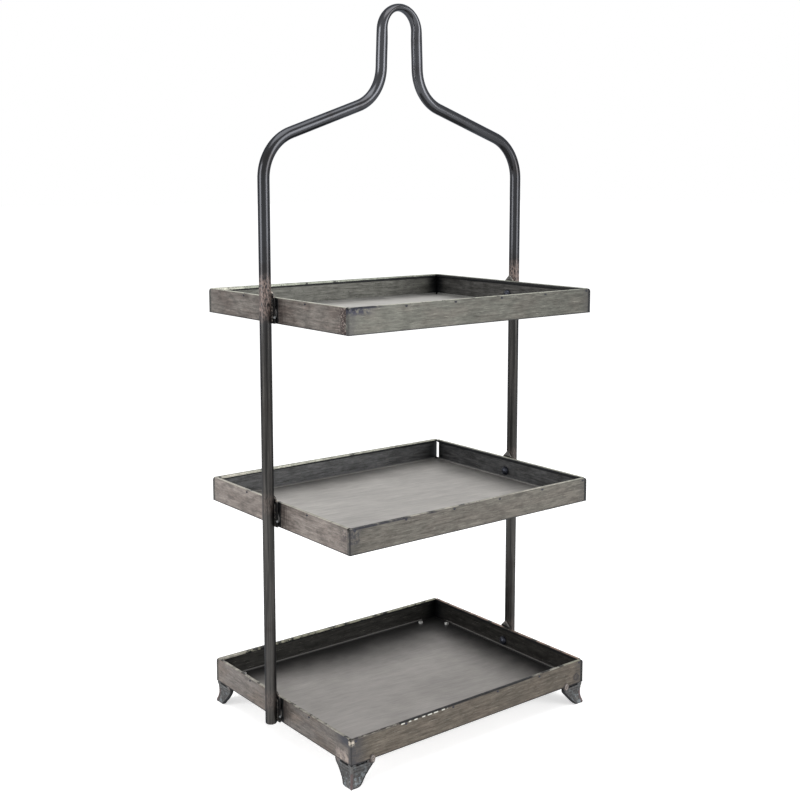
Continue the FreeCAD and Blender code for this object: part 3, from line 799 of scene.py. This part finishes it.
def stations(length):
    """Distances along a rim: close together at the ends, about RIM_STEP apart between."""
    slit = [CORNER_SLIT, CORNER_SLIT + SLIT_STEP, CORNER_SLIT + 2 * SLIT_STEP]
    near = [0.0, 0.4, 1.0, 1.8, 2.8, 3.8, 3.95, 4.6, *slit, 8.2, RIM_END]
    straight = length - 2 * RIM_END
    count = int(straight / RIM_STEP)
    between = [RIM_END + straight * i / count for i in range(1, count)]
    return near + between + [length - n for n in reversed(near)]


def turn_to(side, along, inward, height):
    """A point of the front rim's drawing, on the rim that is meant."""
    if side == "front":
        return (along, -HALF_WIDTH + inward, height)
    if side == "back":
        return (-along, HALF_WIDTH - inward, height)
    if side == "right":
        return (HALF_LENGTH - inward, along, height)
    return (-HALF_LENGTH + inward, -along, height)


def rim_limit(tier, side, half, along):
    """Highest point of a rim at a place along it: rounded ends, cut-back hems and the open slit."""
    end = half - abs(along)
    if side in ("front", "back"):
        if end >= RIM_END_ROUNDING:
            return RIM_HEIGHT
        drop = sqrt(max(0.0, RIM_END_ROUNDING ** 2 - (RIM_END_ROUNDING - end) ** 2))
        return RIM_HEIGHT - RIM_END_ROUNDING + drop
    if tier == "middle" and side == "right" and half - along < CORNER_SLIT + SLIT_STEP / 2:
        return PAN_LIP
    return RIM_HEIGHT if end > SHORT_HEM_CUT else RIM_HEIGHT - HEM_DEPTH - 0.2


def tack(side, along, height):
    """Small dark blob of a tack weld, on the upper edge."""
    place = Vector(turn_to(side, along, 0.45, height))
    away = Vector(turn_to(side, along, -10.0, height + 6.0)) - Vector(turn_to(side, along, 0.0, height))
    profile = [(2.35, -0.3), (2.2, 0.05), (1.7, 0.24), (1.0, 0.36), (POINTED, 0.4)]
    return spun(profile, place, away, 20)


def plug():
    """Ring of a filled hole near the right end of the lowest front rim."""
    place = turn_to("front", PLUG_X, 0.1, LEVELS["bottom"] + PLUG_HEIGHT)
    profile = [(PLUG_RADIUS - 0.5 + 0.55 * cos(angle), 0.3 * sin(angle)) for angle in turns(8)]
    return spun(profile, place, (0, -1, 0), 36, wrap=True)


def rim(tier, side):
    """Rim strip of one side of a tray, slightly uneven, with its tacks."""
    level = LEVELS[tier]
    long_side = side in ("front", "back")
    half = HALF_LENGTH if long_side else HALF_WIDTH - RIM_SHEET
    rings = []
    for distance in stations(2 * half):
        along = distance - half
        end = half - abs(along)
        limit = rim_limit(tier, side, half, along)
        open_hem = tier == "middle" and side == "back" and half + along < OPEN_HEM
        cut_hem = tier == "middle" and side == "right" and half - along < CORNER_SLIT + 1.5 * SLIT_STEP
        ring = []
        for depth, height in rim_section(HEM_DEPTH / 2 if open_hem else HEM_DEPTH):
            height = min(height, limit)
            depth = min(depth, RIM_SHEET) if cut_hem else depth
            sway = RIM_SWAY * noise.noise(Vector((along * 0.018, height * 0.02, level + half)))
            sway *= min(1.0, end / 20.0) * min(1.0, height / 10.0)
            inward = depth + RIM_INSET + sway if height > 1.0 else depth + SKIN
            ring.append(turn_to(side, along, inward, level + height))
        rings.append(ring)
    places = TACKS_LONG if long_side else TACKS_SHORT
    tacks = [tack(side, along, level + RIM_HEIGHT - TACK_DROP) for along in places]
    plugs = [plug()] if tier == "bottom" and side == "front" else []
    parts = [loft(rings), *tacks, *plugs]
    marks = {"tack": spread(parts, [0.0] + [0.95] * len(tacks) + [0.5] * len(plugs))}
    name = "%s_tray_rim_%s" % (tier, side)
    make(name + "_dressed", join(parts), RIM_STEEL[tier], [name], sharp=40, marks=marks)


def pan_sheet(level, half_x, half_y):
    """Floor sheet, a little uneven on top."""
    columns, rows = 60, 48
    stride = columns + 1
    verts = []
    for base in (0.0, PAN_SHEET):
        for row in range(rows + 1):
            for column in range(stride):
                x = -half_x + 2 * half_x * column / columns
                y = -half_y + 2 * half_y * row / rows
                edge = min(half_x - abs(x), half_y - abs(y))
                ripple = 0.25 * noise.noise(Vector((x * 0.012, y * 0.012, level))) * min(1.0, edge / 30.0)
                verts.append((x, y, level + SKIN + (base + ripple if base else 0.0)))
    size = stride * (rows + 1)
    border = list(range(columns))
    border += [row * stride + columns for row in range(rows)]
    border += [rows * stride + column for column in range(columns, 0, -1)]
    border += [row * stride for row in range(rows, 0, -1)]
    walls = [(a, b, b + size, a + size) for a, b in zip(border, border[1:] + border[:1])]
    return verts, grid(0, rows, stride) + grid(size, rows, stride) + walls


def pan_lip(level, half_x, half_y, relief, turn):
    """Upturned lip along one side of the floor sheet."""
    long_side = turn % 2 == 0
    half = (half_x if long_side else half_y) - relief
    wall = half_y if long_side else half_x
    sign = -1 if turn >= 2 else 1
    top = PAN_LIP
    section = [(0.0, 0.4), (0.0, top - 0.25), (0.25, top), (0.65, top), (0.9, top - 0.25)]
    section += [(0.9, 1.7), (1.2, 1.2), (1.9, 0.93), (1.9, 0.4)]
    rings = []
    count = 40
    for index in range(count + 1):
        along = -half + 2 * half * index / count
        ring = []
        for depth, height in section:
            x, y = (along, depth - wall) if long_side else (wall - depth, along)
            ring.append((sign * x, sign * y, level + height))
        rings.append(ring)
    return loft(rings)


def pan(tier):
    """Floor of a tray: its sheet and four lips."""
    half_x = HALF_LENGTH - RIM_SHEET - PAN_CLEARANCE
    half_y = HALF_WIDTH - RIM_SHEET - PAN_CLEARANCE
    parts = [pan_sheet(LEVELS[tier], half_x, half_y)]
    parts += [pan_lip(LEVELS[tier], half_x, half_y, LIP_RELIEF[tier], turn) for turn in range(4)]
    name = tier + "_tray_floor"
    make(name + "_dressed", join(parts), FLOOR_STEEL[tier], [name], sharp=30)


for tier in TIERS:
    pan(tier)
    for side in ("front", "back", "left", "right"):
        rim(tier, side)


# ---- Joints ----


def bracket_strip(sign, level):
    """Flat strip with a pointed ear; the ear's outline and tip are marked pale."""
    shares = (-1.0, -0.78, -0.4, 0.0, 0.4, 0.78, 1.0)
    heights = [0.1 + (RIM_HEIGHT - 0.1) * i / 9 for i in range(10)]
    heights += [RIM_HEIGHT + (EAR_TIP - RIM_HEIGHT) * i / 8 for i in range(1, 9)]
    rings, pale = [], []
    for height in heights:
        rise = max(0.0, (height - RIM_HEIGHT) / (EAR_TIP - RIM_HEIGHT))
        half = max(0.7, BRACKET_HALF * (1 - 0.93 * rise))
        ring = []
        for x, order in ((BRACKET_X, shares), (BRACKET_X + BRACKET_SHEET, reversed(shares))):
            for share in order:
                ring.append((sign * x, half * share, level + height))
                bright = max(0.0, (abs(share) - 0.6) / 0.4) if rise > 0 else 0.0
                pale.append(max(bright, 1.0 if rise > 0.8 else 0.0))
        rings.append(ring)
    return loft(rings), pale


def weld_bead(sign, level, edge):
    """Rippled weld along one side of the tube."""
    rings = []
    count = 26
    for index in range(count + 1):
        z = level + 1.5 + (RIM_HEIGHT - 3.0) * index / count
        swell = 0.85 + 0.25 * sin(index * 2.1) * (1 if 0 < index < count else 0)
        centre = Vector((sign * (BRACKET_X + BRACKET_SHEET + 0.9), edge * 4.6, z))
        rings.append([centre + Vector((cos(a), sin(a), 0)) * 1.5 * swell for a in turns(10)])
    return loft(rings)


def nub(sign, level, edge):
    """Bright blob of weld low on one of the bracket's edges."""
    profile = [(POINTED, -1.6), (1.0, -1.3), (1.7, -0.5), (1.8, 0.3), (1.3, 1.1), (POINTED, 1.5)]
    centre = (sign * (BRACKET_X + 0.9), edge * (BRACKET_HALF - 0.6), level + 8.5)
    return spun(profile, centre, (0, edge, 0.3), 16)


def joint(tier, side):
    """Bracket strip with its ear, welds and nubs, on one side of a tray."""
    level = LEVELS[tier]
    sign = 1 if side == "right" else -1
    strip, pale = bracket_strip(sign, level)
    grey = [float(sign > 0 and z - level > RIM_HEIGHT + 1) for x, y, z in strip[0]]
    beads, nubs = (join([shape(sign, level, edge) for edge in (-1, 1)]) for shape in (weld_bead, nub))
    marks = {
        "pale": pale + spread([beads, nubs], (0.25, 0.0)),
        "nub": spread([strip, beads, nubs], (0.0, 0.0, 0.9)),
        "grey": grey + spread([beads, nubs], (0.0, 0.0)),
    }
    name = "%s_bracket_%s" % (tier, side)
    make(name + "_dressed", join([strip, beads, nubs]), BRACKET_STEEL, [name], marks=marks)


def bolts(tier):
    """The two domed bolts of a tray."""
    seat = HALF_LENGTH - RIM_SHEET
    dome = (HEAD_RADIUS ** 2 + HEAD_RISE ** 2) / (2 * HEAD_RISE)
    profile = [(POINTED, BOLT_LENGTH), (BOLT_RADIUS, BOLT_LENGTH), (BOLT_RADIUS, 0.0)]
    profile += [(HEAD_RADIUS - 0.1, 0.0), (HEAD_RADIUS, -0.2), (HEAD_RADIUS, -1.4)]
    for step in range(1, 9):
        angle = asin(HEAD_RADIUS / dome) * (1 - step / 8)
        rise = dome * cos(angle) - dome + HEAD_RISE
        profile.append((max(POINTED, dome * sin(angle)), -(1.5 + rise)))
    parts = [spun(profile, (sign * seat, 0, BOLT_HEIGHTS[tier]), (sign, 0, 0), 40) for sign in (-1, 1)]
    name = tier + "_tray_bolts"
    make(name + "_dressed", join(parts), BOLT_BLACK, [name], sharp=50)


for tier in TIERS:
    for side in ("left", "right"):
        joint(tier, side)
    bolts(tier)
    for suffix in ("_spacer_washers", "_tube_nuts"):
        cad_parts[tier + suffix].data.materials[0] = ZINC


# ---- Corner feet ----


def foot_at(height):
    """Long reach, short reach, inset and wall of the foot at a height, smoothly between sections."""
    rows = FOOT_PROFILE
    index = 0
    while index < len(rows) - 2 and height < rows[index + 1][0]:
        index += 1
    before = rows[max(index - 1, 0)]
    start, end = rows[index], rows[index + 1]
    after = rows[min(index + 2, len(rows) - 1)]
    gap = start[0] - end[0]
    t = (start[0] - height) / gap
    values = []
    for k in range(1, 5):
        leave = (end[k] - before[k]) / (before[0] - end[0]) * gap
        arrive = (after[k] - start[k]) / (start[0] - after[0]) * gap
        values.append(
            (2 * t ** 3 - 3 * t ** 2 + 1) * start[k] + (t ** 3 - 2 * t ** 2 + t) * leave
            + (3 * t ** 2 - 2 * t ** 3) * end[k] + (t ** 3 - t ** 2) * arrive
        )
    return values


FOOT_SHARES = (
    0.0, 0.018, 0.04, 0.065, 0.095, 0.13, 0.17, 0.19, 0.20, 0.24, 0.29, 0.34, 0.39, 0.44, 0.49, 0.54,
    0.59, 0.63, 0.665, 0.675, 0.71, 0.75, 0.79, 0.83, 0.865, 0.895, 0.92, 0.945, 0.965, 0.985, 1.0,
)
FOOT_HEIGHTS = (
    [0.0, 0.3, 0.7, 1.2, 1.8, 2.5, 3.3, 4.2, 5.2] + [6.2 + 0.79 * i for i in range(31)]
    + [30.0, 30.2, 30.8, 31.3, 31.5, 32.2, 33.0]
)


def foot_relief(reach, height, gap, edge):
    """How far the casting stands out at a distance from the corner and from the outline."""
    ridge = 0.7 * exp(-((gap / 1.7) ** 2))
    bead = 0.4 * exp(-(((edge - 3.0) / 0.9) ** 2)) * min(1.0, gap / 2.0)
    field = max(0.0, min(1.0, (gap - 1.6) / 1.5, (edge - 3.6) / 1.5))
    bars = 0.2 * cos(2 * pi * (height - 27.6) / 4.2) * field * max(0.0, min(1.0, (height - 17) / 4))
    pad = 0.5 * exp(-(((gap - 7.0) / 2.8) ** 2) - (((height - 6.5) / 4.0) ** 2))
    rough = 0.3 * noise.noise(Vector((gap * 0.33, height * 0.33, reach)))
    return ridge + bead + bars + pad + rough


def same_marks(count, *values):
    """Marks of a foot that are alike over a part's points."""
    return {title: [value] * count for title, value in zip(FOOT_MARKS, values)}


def foot_shell():
    """Body of a foot for the corner where +X and +Y lead inwards, as (x, y, z) from that corner."""
    shares = [-share for share in reversed(FOOT_SHARES[1:])] + list(FOOT_SHARES)
    columns, rows = len(shares), len(FOOT_HEIGHTS)
    outer, inner, values = [], [], []
    for height in FOOT_HEIGHTS:
        long_reach, short_reach, inset, wall = foot_at(height)
        for share in shares:
            reach = long_reach if share >= 0 else short_reach
            gap = (reach - inset) * abs(share)
            edge = (reach - inset) * (1 - abs(share))
            lift = foot_relief(reach, height, gap, edge)
            sunk = 0.5 * max(0.0, 1 - edge / 0.9) ** 2 + 0.6 * max(0.0, 1 - height / 1.3) ** 2
            depth = inset - lift + sunk
            if height > SLOT_BOTTOM and SLOT_FROM < abs(share) < SLOT_TO:
                depth, lift = inset + SLOT_DEPTH, -2.0
            elif height > 31.4 and gap < 1.7:
                depth, lift = inset + 1.0, -2.0
            depth = max(depth, -1.9)
            along = inset + gap if share else depth
            inner_along = inset + wall + max(0.0, reach - inset - wall) * abs(share)
            outer.append((along, depth, height) if share >= 0 else (depth, along, height))
            back = inset + wall
            inner.append((inner_along, back, height) if share >= 0 else (back, inner_along, height))
            values.append((lift, edge, gap, 0.0))
    size = rows * columns
    ends = [(row * columns + column, columns) for row in range(rows - 1) for column in (0, columns - 1)]
    ends += [(row * columns + column, 1) for column in range(columns - 1) for row in (0, rows - 1)]
    faces = grid(0, rows - 1, columns) + grid(size, rows - 1, columns)
    faces += [(a, a + step, a + step + size, a + size) for a, step in ends]
    # edge 2.8 makes the inner faces near black: painted shade
    inside = same_marks(size, -0.2, 2.8, 9.0, 0.0)
    marks = {title: list(column) + inside[title] for title, column in zip(FOOT_MARKS, zip(*values))}
    return outer + inner, faces, marks


def foot_ear():
    """Upright scroll at the tip of the long wing, lapping over the rim's lower edge."""
    centre = foot_at(FOOT_HEIGHT)[0] - EAR_TO_TIP
    rows, steps = 12, 40
    rings, relief = [], []
    for row in range(rows + 1):
        share = max(0.01, row / rows)
        dome = 1.5 * sqrt(max(0.0, 1 - (share * 0.985) ** 4))
        ring = []
        for angle in turns(steps):
            spiral = cos(angle - 2.2 * pi * share * 1.6)
            lift = dome + 0.28 * spiral * min(1.0, share * 5) * (1 if share < 0.85 else 0.2)
            along = centre + EAR_HALF_WIDTH * share * cos(angle)
            z = FOOT_HEIGHT - 0.2 + EAR_HALF_HEIGHT * share * sin(angle)
            ring.append((along, 0.1 - lift, z))
            relief.append((0.35 + 0.8 * spiral) if share < 0.8 else -0.6)
        rings.append(ring)
    rings.append([(along, 0.05 if z > FOOT_HEIGHT else 2.6, z) for along, _, z in rings[-1]])
    relief += [-1.0] * steps
    verts, faces = loft(rings)
    return verts, faces, {**same_marks(len(verts), 0.0, 9.0, 9.0, 1.0), "relief": relief}


def foot_plate(long_wing):
    """Screw plate under the tray, behind one wing."""
    low, width, reach, cut = PLATE_START, PLATE_WIDTH, PLATE_REACH, PLATE_CUT
    outline = [(low, low), (reach - cut, low), (reach, low + cut)]
    outline += [(reach, width - cut), (reach - cut, width), (low, width)]
    if not long_wing:
        outline = [(y, x) for x, y in outline]
    rings = [[(x, y, z) for x, y in outline] for z in (FOOT_HEIGHT - PLATE_THICKNESS, FOOT_HEIGHT - 0.02)]
    verts, faces = loft(rings)
    return verts, faces, same_marks(len(verts), -0.1, 9.0, 9.0, 0.0)


def foot(x_side, y_side):
    """Cast corner foot, drawn for one corner and mirrored to its place."""
    parts = [foot_shell(), foot_ear(), foot_plate(True), foot_plate(False)]
    verts, faces = join([part[:2] for part in parts])
    marks = {title: sum((part[2][title] for part in parts), []) for title in FOOT_MARKS}
    placed = [(x_side * (HALF_LENGTH - x), y_side * (HALF_WIDTH - y), z) for x, y, z in verts]
    node = "foot_%s_%s" % ("front" if y_side < 0 else "back", "left" if x_side < 0 else "right")
    make(node + "_dressed", (placed, faces), FOOT_IRON, [node], sharp=50, marks=marks)


def screw_places():
    """Centres of the eight screws of the feet."""
    for x_side in (-1, 1):
        for y_side in (-1, 1):
            for x, y in ((SCREW_REACH, SCREW_INSET), (SCREW_INSET, SCREW_REACH)):
                yield x_side * (HALF_LENGTH - x), y_side * (HALF_WIDTH - y)


def foot_screws():
    """Screws of the feet, with a recessed round head under the plate."""
    low, high = span("foot_screws", Z)
    seat = FOOT_HEIGHT - PLATE_THICKNESS
    profile = [(POINTED, low + 1.3), (1.5, low + 1.3), (1.5, low + 0.05), (2.9, low + 0.05)]
    profile += [(3.5, low + 0.4), (3.75, low + 1.0), (3.75, seat), (1.98, seat)]
    profile += [(1.98, high - 0.5), (1.5, high), (POINTED, high)]
    shape = join([spun(profile, (x, y, 0), (0, 0, 1), 24) for x, y in screw_places()])
    make("foot_screws_dressed", shape, ZINC, ["foot_screws"], sharp=40)


def foot_nuts():
    """Six-sided nuts with a round bore. A level is a height, a share of the flats and a largest radius."""
    low, high = span("foot_nuts", Z)
    angles = turns(NUT_SIDES)
    levels = [(low, 0.97, 9.0), (low + 0.2, 1.0, 9.0), (high - 0.7, 1.0, 9.0), (high, 1.0, 3.4)]
    parts = []
    for x, y in screw_places():
        rings = []
        for height, share, most in levels:
            ring = []
            for angle in angles:
                to_flat = (angle % (pi / 3)) - pi / 6
                radius = min(NUT_HALF / cos(to_flat) * share, most)
                ring.append((x + radius * cos(angle), y + radius * sin(angle), height))
            rings.append(ring)
        for height in (high, low):
            rings.append([(x + NUT_BORE * cos(a), y + NUT_BORE * sin(a), height) for a in angles])
        parts.append(loft(rings, wrap=True))
    make("foot_nuts_dressed", join(parts), BRIGHT_ZINC, ["foot_nuts"], sharp=25)


for x_side in (-1, 1):
    for y_side in (-1, 1):
        foot(x_side, y_side)
foot_screws()
foot_nuts()


# ---- Studio ----


def seen(nodes, *kinds):
    """1 for the ray kinds named, so that the backdrop shows white to them only."""
    path = nodes.add("LightPath")
    kind = path.outputs[kinds[0]]
    for name in kinds[1:]:
        kind = nodes.larger(kind, path.outputs[name])
    return kind


def studio_floor():
    """White floor that keeps a soft shadow and shows no horizon."""
    mesh = bpy.data.meshes.new("studio_floor")
    mesh.from_pydata([(-30, -30, 0), (30, -30, 0), (30, 30, 0), (-30, 30, 0)], [], [(0, 1, 2, 3)])
    floor = new_object("studio_floor", mesh)
    material = bpy.data.materials.new("studio_floor")
    material.use_nodes = True
    nodes = Nodes(material.node_tree)
    nodes.tree.nodes.clear()
    diffuse = nodes.add("BsdfDiffuse")
    nodes.put(diffuse.inputs[0], (0.8, 0.8, 0.8))
    reach = nodes.add("VectorMath", operation="LENGTH")
    nodes.put(reach.inputs[0], nodes.add("TexCoord").outputs["Object"])
    white = nodes.linear(reach.outputs["Value"], 0.9, 4.0, 0.62, 0.8)
    glow = nodes.add("Emission")
    nodes.put(glow.inputs["Strength"], nodes.times(white, seen(nodes, "Is Camera Ray", "Is Glossy Ray")))
    both = nodes.fill(nodes.add("AddShader"), (diffuse.outputs[0], glow.outputs[0]))
    nodes.put(nodes.add("OutputMaterial").inputs[0], both)
    mesh.materials.append(material)


def studio_world():
    """World that shows white and lights the stand less."""
    world = bpy.data.worlds.new("studio")
    bpy.context.scene.world = world
    world.use_nodes = True
    nodes = Nodes(world.node_tree)
    background = nodes.tree.nodes["Background"]
    nodes.put(background.inputs[0], (1.0, 1.0, 1.0))
    direct = seen(nodes, "Is Camera Ray", "Is Glossy Ray", "Is Transmission Ray")
    nodes.put(background.inputs["Strength"], nodes.linear(direct, 0.0, 1.0, 0.4, 1.0))


def lamp(name, position, target, size, size_y, watts):
    """Soft rectangular light that faces a target."""
    data = bpy.data.lights.new(name, "AREA")
    data.shape = "RECTANGLE"
    data.size = size
    data.size_y = size_y
    data.energy = watts
    light = new_object(name, data)
    light.location = position
    light.rotation_euler = (Vector(target) - Vector(position)).to_track_quat("-Z", "Y").to_euler()


studio_floor()
studio_world()
lamp("key", (-2.6, 0.35, 1.08), (0, 0, 0.95), 1.35, 1.65, 44)
lamp("fill", (1.0, -2.5, 1.08), (0, 0, 0.95), 1.35, 1.65, 44)
lamp("overhead", (-0.3, -0.4, 3.0), (0, 0, 0.5), 2.2, 2.0, 50)


# ---- Camera ----

FRAME_WIDTH = 800.0
FOCAL_PIXELS = 1208.79
YAW, PITCH = radians(38.2143), radians(7.447)

camera_data = bpy.data.cameras.new("camera")
camera_data.sensor_width = 36.0
camera_data.lens = FOCAL_PIXELS * camera_data.sensor_width / FRAME_WIDTH
camera_data.shift_y = -0.08
camera = new_object("camera", camera_data)
camera.location = (-1.06072, -1.34852, 0.77399)
look = Vector((sin(YAW) * cos(PITCH), cos(YAW) * cos(PITCH), -sin(PITCH)))
camera.rotation_euler = look.to_track_quat("-Z", "Y").to_euler()
bpy.context.scene.camera = camera
bpy.context.scene.view_settings.view_transform = "Standard"
